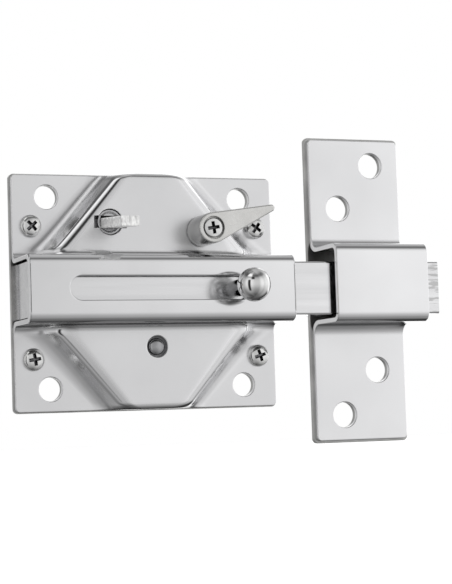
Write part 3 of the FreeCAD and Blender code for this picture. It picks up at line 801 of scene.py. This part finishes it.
def build_lever():
    """The cast lever: its flank rises from the underside to the rounded edge of its flat face."""
    c, s = math.cos(LEVER_ANGLE), math.sin(LEVER_ANGLE)
    edge_h = LEVER_FRONT_H - LEVER_EDGE_R

    def ring(grow, height_at):
        return [point(LEVER_X + u * c - v * s, height_at(u), LEVER_Z + u * s + v * c)
                for u, v in lever_outline(grow)]

    rings = []
    for share, grow in ((0.0, -0.3), (0.04, 0.0), (0.5, -0.05)):
        rings.append(ring(grow, lambda u: lerp(lever_rear(u), edge_h, share)))
    for turn in quarter(6):
        grow = -0.12 - LEVER_EDGE_R * (1 - math.cos(turn))
        rings.append(ring(grow, lambda u: edge_h + LEVER_EDGE_R * math.sin(turn)))
    lever = skin("safety_lever_cast", rings)
    recess = circle_outline(LEVER_X, LEVER_Z, LEVER_RECESS_R)
    cut_with(lever, [hole(recess, LEVER_FRONT_H - LEVER_RECESS_D, LEVER_FRONT_H, LEVER_RECESS_RIM)])
    finish_piece(lever, material_of("satin_zinc"), ["safety_lever"])
    # painted shade: every face of the lever that doesn't look to the front gets the darker flank material
    lever.data.materials.append(lever_flank_shade())
    for face in lever.data.polygons:
        if face.normal.y > -0.55:
            face.material_index = 1


# ---- hub and connecting bar

def build_hub():
    """The hub's face, dished inside a thin bright rim, with the bar's slot through it."""
    profile = [(0.0, HUB_REAR_H), (HUB_R, HUB_REAR_H), (HUB_R, HUB_FRONT_H - HUB_RIM)]
    profile += arc(HUB_R - HUB_RIM, HUB_FRONT_H - HUB_RIM, HUB_RIM, 0, 90, 4)[1:]
    profile += [(HUB_R - 0.75, HUB_FRONT_H), (HUB_R - 1.1, HUB_FRONT_H - 0.35)]
    profile += [(HUB_R - 1.6, HUB_FRONT_H - HUB_DISH), (0.0, HUB_FRONT_H - HUB_DISH)]
    hub = lathe("cam_hub_turned", HUB_X, HUB_Z, profile, 72)
    low, high, edge = HUB_FLANGE_REAR_H, HUB_FLANGE_FRONT_H, HUB_FLANGE_EDGE
    ring = [(0.0, low), (HUB_FLANGE_R - edge, low), (HUB_FLANGE_R, low + edge)]
    ring += [(HUB_FLANGE_R, high - edge), (HUB_FLANGE_R - edge, high), (0.0, high)]
    cut_with(hub, [lathe("hub_flange", HUB_X, HUB_Z, ring)], "UNION")

    def slot(grow):
        a = BAR_W / 2 + BAR_SLOT_SIDE + grow
        b = BAR_T / 2 + BAR_SLOT_ABOVE + grow
        return [(HUB_X + x, HUB_Z + z) for x, z in ((-a, -b), (a, -b), (a, b), (-a, b))]

    cut_with(hub, [prism_through("cutter", slot, [(-1.0, 0.0), (HUB_FRONT_H + 1, 0.0)])])
    finish_piece(hub, material_of("satin_steel"), ["cam_hub"])


def bar_outline(grow):
    """The bar's section with small round corners and points along its sides."""
    a, b = BAR_W / 2 + grow, BAR_T / 2 + grow
    corners = []
    for x, z, start in ((a, b, 0), (-a, b, 90), (-a, -b, 180), (a, -b, 270)):
        centre_x = x - math.copysign(BAR_CORNER_R, x)
        centre_z = z - math.copysign(BAR_CORNER_R, z)
        corners.append(arc(centre_x, centre_z, BAR_CORNER_R, start, start + 90, 3))
    outline = []
    for n, corner in enumerate(corners):
        outline += corner
        here, there = corner[-1], corners[(n + 1) % 4][0]
        steps = 15 if n % 2 == 0 else 9
        for t in spread(0, 1, steps)[1:-1]:
            outline.append((lerp(here[0], there[0], t), lerp(here[1], there[1], t)))
    return outline


def bar_levels():
    """Heights along the bar, each with how much its section grows: plain, then ridged, then the end."""
    levels = [(BAR_REAR_H, -0.35), (BAR_REAR_H + 0.35, 0.0)]
    ridge_from = HUB_FRONT_H - 2.0
    h = BAR_REAR_H
    while h < ridge_from:
        h += 3.0
        levels.append((h, 0.0))
    h = ridge_from + RIDGE_PITCH
    while h < BAR_FRONT_H - 1.2:
        levels += [(h - 0.62, 0.0), (h - 0.30, -RIDGE_DEPTH), (h - 0.05, -RIDGE_DEPTH), (h + 0.30, 0.0)]
        h += RIDGE_PITCH
    return levels + [(BAR_FRONT_H - 0.30, 0.0), (BAR_FRONT_H - 0.08, -0.10), (BAR_FRONT_H, -0.30)]


def build_bar():
    """Flat bar with rolled ridges across its sides and a sheared, ragged end."""
    c, s = math.cos(BAR_DROOP), math.sin(BAR_DROOP)
    rings = []
    for h, grow in bar_levels():
        wave = BAR_WAVE if h > HUB_FRONT_H else 0.0
        ring = []
        for i, (u, v) in enumerate(bar_outline(grow)):
            out = h - BAR_PIVOT_H + wave * math.sin(i * 2.1 + h * 1.7) * math.sin(i * 0.9)
            ring.append(point(HUB_X + u, BAR_PIVOT_H + out * c - v * s, HUB_Z + v * c - out * s))
        rings.append(ring)
    bar = skin("connecting_bar_ridged", rings)
    finish_piece(bar, material_of("knurled_bar"), ["connecting_bar"], 50.0)


# ---- push button

def build_button():
    """The button on its flange and stem; the ring around it carries painted shade, darker than its crown."""
    edge = BUTTON_EDGE
    stem_r, stem_low = BUTTON_STEM_R, BUTTON_STEM_REAR_H
    flange_r, low, high = BUTTON_FLANGE_R, BUTTON_FLANGE_REAR_H, BUTTON_FLANGE_FRONT_H
    crown_base = BUTTON_FRONT_H - BUTTON_CROWN
    profile = [(0.0, stem_low), (stem_r - edge, stem_low), (stem_r, stem_low + edge), (stem_r, low)]
    profile += [(flange_r - edge, low), (flange_r, low + edge), (flange_r, high - edge)]
    profile += [(flange_r - edge, high), (BUTTON_R, high), (BUTTON_R, crown_base)]
    profile += crown(BUTTON_R, crown_base, BUTTON_CROWN, 0.8)
    button = lathe("push_button_turned", BUTTON_X, BUTTON_Z, profile, 72)
    finish_piece(button, material_of("satin_steel"), ["push_button"])
    button.data.materials[0] = button_finish()
    # painted shade: the button's sides and flange inside the hole get the dark recess material
    button.data.materials.append(recess_painted_shade())
    for face in button.data.polygons:
        out = math.hypot(face.center.x / MM - BUTTON_X, face.center.z / MM - BUTTON_Z)
        if out > BUTTON_R - 0.05:
            face.material_index = 1


# ---- CAD nodes with softened edges

def softened(node, radius):
    """A copy of a CAD node whose sharp edges are rounded off a little, as on a real part."""
    mesh = NODES[node].data.copy()
    bm = bmesh.new()
    bm.from_mesh(mesh)
    bmesh.ops.remove_doubles(bm, verts=bm.verts, dist=2e-6)
    bmesh.ops.dissolve_limit(bm, angle_limit=math.radians(1.0), verts=bm.verts, edges=bm.edges)
    bm.to_mesh(mesh)
    bm.free()
    if "custom_normal" in mesh.attributes:
        mesh.attributes.remove(mesh.attributes["custom_normal"])
    obj = placed(node + "_finished", mesh)
    bevel = obj.modifiers.new("edges", "BEVEL")
    bevel.width = radius * MM
    bevel.segments = 2
    bevel.limit_method = "ANGLE"
    bevel.angle_limit = math.radians(35.0)
    bpy.context.view_layer.update()
    bake_modifiers(obj)
    return finish_piece(obj, material_of(SLOT_OF[node]), [node])


# ---- materials

SLOT_OF = {sub["node"]: sub["material_slot"] for sub in RECORD["subparts"]}
MADE = {}


def map_range(tree, value, low, high, to_low=0.0, to_high=1.0):
    """Maps low..high to to_low..to_high."""
    node = tree.nodes.new("ShaderNodeMapRange")
    for name, number in (("From Min", low), ("From Max", high), ("To Min", to_low), ("To Max", to_high)):
        node.inputs[name].default_value = number
    tree.links.new(value, node.inputs["Value"])
    return node.outputs["Result"]


class Finish:
    """A principled material being put together from procedural nodes."""

    def __init__(self, name):
        self.material = bpy.data.materials.new(name)
        self.material.use_nodes = True
        self.tree = self.material.node_tree
        self.shader = self.tree.nodes["Principled BSDF"]
        self.shader.inputs["Metallic"].default_value = 1.0
        self.place = self.tree.nodes.new("ShaderNodeTexCoord").outputs["Object"]

    def link(self, source, target):
        self.tree.links.new(source, target)

    def noise(self, scale, stretch=(1, 1, 1), detail=3.0, roughness=0.5):
        mapping = self.tree.nodes.new("ShaderNodeMapping")
        mapping.inputs["Scale"].default_value = stretch
        self.link(self.place, mapping.inputs["Vector"])
        noise = self.tree.nodes.new("ShaderNodeTexNoise")
        noise.inputs["Scale"].default_value = scale
        noise.inputs["Detail"].default_value = detail
        noise.inputs["Roughness"].default_value = roughness
        self.link(mapping.outputs["Vector"], noise.inputs["Vector"])
        return noise.outputs["Fac"]

    def spread_to(self, value, low, high, source_low=0.3, source_high=0.7):
        return map_range(self.tree, value, source_low, source_high, low, high)

    def colours(self, value, low, high):
        ramp = self.tree.nodes.new("ShaderNodeValToRGB")
        ramp.color_ramp.elements[0].position = 0.3
        ramp.color_ramp.elements[0].color = (*low, 1)
        ramp.color_ramp.elements[1].position = 0.7
        ramp.color_ramp.elements[1].color = (*high, 1)
        self.link(value, ramp.inputs["Fac"])
        self.link(ramp.outputs["Color"], self.shader.inputs["Base Color"])

    def shade(self, value, grey):
        """Blends the base colour towards a grey where value is high."""
        mix = self.tree.nodes.new("ShaderNodeMix")
        mix.data_type = "RGBA"
        base = self.shader.inputs["Base Color"]
        self.link(value, mix.inputs["Factor"])
        self.link(base.links[0].from_socket, mix.inputs["A"])
        mix.inputs["B"].default_value = (grey, grey, grey, 1)
        self.link(mix.outputs["Result"], base)

    def axes(self, source):
        """The separate X, Y and Z of a vector."""
        parts = self.tree.nodes.new("ShaderNodeSeparateXYZ")
        self.link(source, parts.inputs["Vector"])
        return parts.outputs

    def normal(self):
        return self.axes(self.tree.nodes.new("ShaderNodeNewGeometry").outputs["Normal"])

    def product(self, first, second):
        times = self.tree.nodes.new("ShaderNodeMath")
        times.operation = "MULTIPLY"
        self.link(first, times.inputs[0])
        self.link(second, times.inputs[1])
        return times.outputs[0]

    def rough(self, value, low, high):
        self.link(self.spread_to(value, low, high), self.shader.inputs["Roughness"])

    def bump(self, value, depth_mm, strength=1.0, before=None):
        bump = self.tree.nodes.new("ShaderNodeBump")
        bump.inputs["Strength"].default_value = strength
        bump.inputs["Distance"].default_value = depth_mm * MM
        self.link(value, bump.inputs["Height"])
        if before is not None:
            self.link(before, bump.inputs["Normal"])
        self.link(bump.outputs["Normal"], self.shader.inputs["Normal"])
        return bump.outputs["Normal"]


def polished_nickel(name="polished_nickel", satin=0.31):
    """Nickel plate: satin on the dome and flanges, polished on the channel and on the upper bends, with painted
    shade on faces that look downwards.
    """
    f = Finish(name)
    f.colours(f.noise(26, detail=4), (0.79, 0.79, 0.80), (0.86, 0.86, 0.87))
    spot = f.axes(f.place)
    facing = f.normal()
    # painted shade: faces that look downwards, such as the channel's underside, are blended towards a dark grey
    under = f.spread_to(facing["Z"], 1.0, 0.0, -0.98, -0.80)
    f.shade(under, 0.16)
    channel, dome = -CHANNEL_H * MM, -DOME_H * MM
    flats = f.spread_to(spot["Y"], 0.11, satin, lerp(channel, dome, 0.2), lerp(channel, dome, 0.7))
    bends = f.spread_to(facing["Y"], 0.0, 1.0, -0.995, -0.93)
    polish = f.tree.nodes.new("ShaderNodeMix")
    f.link(bends, polish.inputs["Factor"])
    f.link(flats, polish.inputs["A"])
    f.link(f.spread_to(spot["Y"], 0.12, 0.30, -POLISH_FULL_H * MM, -POLISH_GONE_H * MM), polish.inputs["B"])
    f.link(polish.outputs["Result"], f.shader.inputs["Roughness"])
    waves = f.bump(f.noise(38, detail=1.5), 0.035, 0.5)
    f.bump(f.noise(2600, (0.25, 1, 1.6), detail=2), 0.0012, 0.4, waves)
    return f.material


def recess_painted_shade():
    """Painted shade for the walls of a driver recess and the button's ring: a dark, dull steel standing in for the
    shade inside them.
    """
    f = Finish("screw_recess_painted_shade")
    f.colours(f.noise(500, detail=3), (0.10, 0.10, 0.105), (0.24, 0.24, 0.245))
    f.rough(f.noise(900, detail=3), 0.3, 0.45)
    return f.material


def lever_flank_shade():
    """The lever's flanks: painted shade, a darker copy of the lever's metal on every face that doesn't look to the
    front.
    """
    f = Finish("lever_flank_painted_shade")
    f.colours(f.noise(150, detail=4), (0.26, 0.26, 0.26), (0.38, 0.38, 0.375))
    f.rough(f.noise(700, detail=4), 0.14, 0.24)
    f.bump(f.noise(1200, detail=2), 0.006, 0.5)
    return f.material


def stem_painted_shade():
    """The knob's stem: painted shade, a dark steel standing in for the shade under the ball."""
    f = Finish("stem_shaded_steel")
    f.colours(f.noise(300, detail=4), (0.13, 0.13, 0.135), (0.22, 0.22, 0.225))
    f.rough(f.noise(900, (1, 0.1, 1), detail=4), 0.14, 0.26)
    return f.material


def button_finish():
    """The button: darker steel, polished by fingertips."""
    f = Finish("button_steel")
    f.colours(f.noise(300, detail=4), (0.30, 0.30, 0.31), (0.42, 0.42, 0.43))
    f.rough(f.noise(900, detail=4), 0.16, 0.28)
    f.bump(f.noise(1600, detail=3), 0.006, 0.5)
    return f.material


def zinc_steel():
    f = Finish("zinc_steel")
    f.colours(f.noise(70, detail=6), (0.34, 0.34, 0.335), (0.50, 0.50, 0.49))
    f.rough(f.noise(240, detail=6), 0.26, 0.42)
    f.bump(f.noise(900, detail=4), 0.012, 0.6)
    return f.material


def bright_screws():
    f = Finish("bright_screws")
    f.colours(f.noise(300, detail=4), (0.66, 0.66, 0.66), (0.84, 0.84, 0.83))
    f.rough(f.noise(700, detail=4), 0.12, 0.26)
    f.bump(f.noise(1500, detail=3), 0.006, 0.6)
    return f.material


def brushed_bolt():
    """Brushed along its length, with a saw-cut end."""
    f = Finish("brushed_bolt")
    f.colours(f.noise(260, (0.03, 1, 1), detail=5), (0.74, 0.74, 0.75), (0.85, 0.85, 0.86))
    cuts = f.spread_to(f.noise(900, (0.12, 0.5, 1.0), detail=2), 0.0, 1.0, 0.48, 0.58)
    end = f.spread_to(f.axes(f.place)["X"], 0.0, 0.8, BOLT_CUT_X * MM, (BOLT_CUT_X + 0.5) * MM)
    f.shade(f.product(cuts, end), 0.45)
    grain = f.noise(1500, (0.02, 1, 1), detail=5, roughness=0.7)
    f.rough(grain, 0.11, 0.19)
    f.bump(grain, 0.004, 0.6)
    return f.material


def chrome_knob():
    f = Finish("chrome_knob")
    f.colours(f.noise(120, detail=3), (0.74, 0.74, 0.74), (0.82, 0.82, 0.82))
    f.rough(f.noise(500, detail=4), 0.05, 0.11)
    f.bump(f.noise(700, detail=2), 0.004, 0.4)
    return f.material


def satin_zinc():
    f = Finish("satin_zinc")
    f.colours(f.noise(150, detail=5), (0.66, 0.655, 0.64), (0.78, 0.775, 0.76))
    f.rough(f.noise(900, detail=5), 0.24, 0.36)
    f.bump(f.noise(2400, detail=3), 0.006, 0.7)
    return f.material


def knurled_bar():
    """Rolled bar, rough and pale, with ragged lines across it."""
    f = Finish("knurled_bar")
    f.shader.inputs["Metallic"].default_value = 0.4
    lines = f.noise(1000, (1.3, 0.9, 0.5), detail=3, roughness=0.6)
    f.colours(lines, (0.58, 0.58, 0.58), (1.0, 1.0, 0.99))
    f.rough(f.noise(1400, detail=4), 0.34, 0.52)
    f.bump(lines, 0.05, 0.9)
    return f.material


def satin_steel():
    f = Finish("satin_steel")
    f.colours(f.noise(200, detail=5), (0.46, 0.46, 0.47), (0.60, 0.60, 0.61))
    f.rough(f.noise(900, detail=5), 0.22, 0.36)
    f.bump(f.noise(1600, detail=3), 0.008, 0.6)
    return f.material


def spring_steel():
    f = Finish("spring_steel")
    f.colours(f.noise(400, detail=4), (0.34, 0.34, 0.36), (0.50, 0.50, 0.52))
    f.rough(f.noise(900, detail=3), 0.25, 0.40)
    return f.material


def brass():
    f = Finish("brass")
    f.colours(f.noise(150, detail=5), (0.68, 0.50, 0.22), (0.80, 0.63, 0.33))
    f.rough(f.noise(800, (1, 0.1, 1), detail=4), 0.20, 0.36)
    f.bump(f.noise(1600, detail=3), 0.006, 0.5)
    return f.material


FINISHES = (
    polished_nickel, zinc_steel, bright_screws, brushed_bolt, chrome_knob,
    satin_zinc, knurled_bar, satin_steel, spring_steel, brass,
)


def material_of(slot):
    if slot not in MADE:
        MADE[slot] = {make.__name__: make for make in FINISHES}[slot]()
    return MADE[slot]


# ---- studio

def make_camera():
    data = bpy.data.cameras.new("camera")
    data.lens = CAMERA_LENS
    data.sensor_width = 36.0
    data.clip_start = 0.01
    data.clip_end = 50.0
    camera = placed("camera", data)
    flat = math.cos(CAMERA_RISE)
    east = math.sin(CAMERA_AZIMUTH) * flat
    north = math.cos(CAMERA_AZIMUTH) * flat
    forward = Vector((east, north, math.sin(CAMERA_RISE)))
    level_right = forward.cross(Vector((0, 0, 1))).normalized()
    level_up = level_right.cross(forward)
    right = level_right * math.cos(CAMERA_ROLL) - level_up * math.sin(CAMERA_ROLL)
    up = right.cross(forward)
    matrix = Matrix((right, up, -forward)).transposed().to_4x4()
    matrix.translation = CAMERA_TARGET - forward * CAMERA_DISTANCE
    camera.matrix_world = matrix
    bpy.context.scene.camera = camera


def ramp_of(tree, value, stops):
    """A grey ramp driven by value, with stops given as (position, level)."""
    ramp = tree.nodes.new("ShaderNodeValToRGB")
    elements = ramp.color_ramp.elements
    while len(elements) < len(stops):
        elements.new(0.5)
    for element, (position, level) in zip(elements, stops):
        element.position = position
        element.color = (level, level, level, 1)
    tree.links.new(value, ramp.inputs["Fac"])
    return ramp.outputs["Color"]


def mixed(tree, kind, first, second, share=None):
    """Two colours blended; kind is MULTIPLY or MIX, and share the weight of the second."""
    node = tree.nodes.new("ShaderNodeMix")
    node.data_type = "RGBA"
    node.blend_type = kind
    node.inputs["Factor"].default_value = 1.0
    if share is not None:
        tree.links.new(share, node.inputs["Factor"])
    tree.links.new(first, node.inputs["A"])
    tree.links.new(second, node.inputs["B"])
    return node.outputs["Result"]


# light of the tent by height, as (sine of the angle above the horizon, level)
TENT_FRONT = (
    (-1.0, 0.10), (-0.93, 0.14), (-0.85, 0.22), (-0.77, 0.28), (-0.5, 0.42), (-0.3, 0.56), (-0.1, 0.66),
    (0.0, 0.69), (0.2, 0.70), (0.45, 0.64), (0.65, 0.44), (0.76, 0.16), (0.86, 0.12), (1.0, 0.40),
)
TENT_BACK = (
    (-1.0, 0.08), (-0.8, 0.04), (-0.53, 0.02), (-0.45, 0.08), (-0.36, 0.55), (-0.26, 0.95),
    (0.5, 1.0), (0.62, 0.50), (0.8, 0.36), (1.0, 0.36),
)
# light of the tent by side, as (degrees from straight in front, to the right, level)
TENT_AROUND = (
    (-180, 0.80), (-170, 0.50), (-160, 0.45), (-148, 0.85), (-125, 0.60), (-98, 0.50), (-78, 0.80),
    (-64, 1.0), (-44, 0.95), (-32, 0.85), (-20, 0.72), (-10, 0.67), (5, 0.66), (14, 0.66), (20, 0.78),
    (27, 0.93), (42, 1.0), (50, 0.86), (57, 0.86), (66, 1.0), (120, 1.0), (165, 1.0), (180, 0.80),
)
# two dark gaps in the tent and a lamp, as (level, heights, sides): each fades in between
# the first two places and out between the last two
TENT_PATCHES = (
    (0.02, (-0.75, -0.62, 0.42, 0.52), (-69, -61, -50, -43)),
    (0.02, (0.48, 0.56, 0.72, 0.78), (-46, -38, -22, -12)),
    (0.75, (0.72, 0.80, 0.92, 0.97), (-92, -80, -46, -36)),
)
FADE = (0.0, 1.0, 1.0, 0.0)


def by_height(tree, sine, stops):
    """Level of the light for a sine that was mapped to 0..1."""
    return ramp_of(tree, sine, [((z + 1) / 2, level) for z, level in stops])


def by_side(tree, turn, stops):
    """Level of the light for a turn that was mapped to 0..1."""
    return ramp_of(tree, turn, [((a + 180) / 360, level) for a, level in stops])


def make_world():
    """A soft tent of light that the metal mirrors, with dark gaps and a lamp to its left."""
    world = bpy.data.worlds.new("studio")
    bpy.context.scene.world = world
    world.use_nodes = True
    tree = world.node_tree
    tree.nodes.clear()
    nodes, links = tree.nodes, tree.links
    direction = nodes.new("ShaderNodeTexCoord").outputs["Generated"]
    parts = nodes.new("ShaderNodeSeparateXYZ")
    links.new(direction, parts.inputs["Vector"])
    sine = map_range(tree, parts.outputs["Z"], -1.0, 1.0)
    ahead = nodes.new("ShaderNodeMath")
    ahead.operation = "MULTIPLY"
    ahead.inputs[1].default_value = -1.0
    links.new(parts.outputs["Y"], ahead.inputs[0])
    angle = nodes.new("ShaderNodeMath")
    angle.operation = "ARCTAN2"
    links.new(parts.outputs["X"], angle.inputs[0])
    links.new(ahead.outputs[0], angle.inputs[1])
    turn = map_range(tree, angle.outputs[0], -math.pi, math.pi)

    rear = map_range(tree, parts.outputs["Y"], -0.1, 0.25)
    right = map_range(tree, parts.outputs["X"], -0.3, 0.1)
    behind = mixed(tree, "MULTIPLY", rear, right)
    heights = mixed(tree, "MIX", by_height(tree, sine, TENT_FRONT), by_height(tree, sine, TENT_BACK), behind)
    light = mixed(tree, "MULTIPLY", heights, by_side(tree, turn, TENT_AROUND))
    for level, rises, sides in TENT_PATCHES:
        patch = nodes.new("ShaderNodeRGB").outputs["Color"]
        patch.default_value = (level, level, level, 1)
        at_height = by_height(tree, sine, zip(rises, FADE))
        where = mixed(tree, "MULTIPLY", at_height, by_side(tree, turn, zip(sides, FADE)))
        light = mixed(tree, "MIX", light, patch, where)

    tent = nodes.new("ShaderNodeBackground")
    tent.inputs["Strength"].default_value = TENT_STRENGTH
    links.new(light, tent.inputs["Color"])
    white = nodes.new("ShaderNodeBackground")
    white.inputs["Color"].default_value = (1, 1, 1, 1)
    seen = nodes.new("ShaderNodeLightPath")
    mix = nodes.new("ShaderNodeMixShader")
    links.new(seen.outputs["Is Camera Ray"], mix.inputs["Fac"])
    links.new(tent.outputs[0], mix.inputs[1])
    links.new(white.outputs[0], mix.inputs[2])
    output = nodes.new("ShaderNodeOutputWorld")
    links.new(mix.outputs[0], output.inputs["Surface"])


def make_floor_light():
    """A wide soft light from above that keeps the floor pale as far as it goes.
    The metal doesn't mirror it: it mirrors the tent."""
    data = bpy.data.lights.new("floor_light", "SUN")
    data.angle = math.radians(60)
    data.energy = FLOOR_LIGHT
    light = placed("floor_light", data)
    light.rotation_euler = (math.radians(12), math.radians(-8), 0)
    light.visible_camera = False
    light.visible_glossy = False


def make_floor():
    """A wide pale floor below the lock."""
    level = CAD_BOX[0].z - FLOOR_BELOW
    size = FLOOR_HALF
    corners = [(-size, -size, level), (size, -size, level), (size, size, level), (-size, size, level)]
    floor = make_object("floor", corners, [(0, 1, 2, 3)])
    f = Finish("pale_floor")
    f.shader.inputs["Metallic"].default_value = 0.0
    f.colours(f.noise(3, detail=3), (0.90, 0.90, 0.90), (0.94, 0.94, 0.94))
    f.rough(f.noise(20, detail=3), 0.7, 0.85)
    floor.data.materials.append(f.material)
    floor.visible_glossy = False


# ---- assembly

for node, obj in NODES.items():
    obj.data.materials.clear()
    obj.data.materials.append(material_of(SLOT_OF[node]))

build_cover()
build_strike()
build_knob()
build_case_screws()
build_lever_screw()
build_lever()
build_hub()
build_bar()
build_button()
for plate in ("back_plate", "strike_backing"):
    softened(plate, PLATE_EDGE_R)
softened("bolt", BOLT_EDGE_R)

make_camera()
make_world()
make_floor()
make_floor_light()
bpy.context.scene.view_settings.view_transform = "Standard"
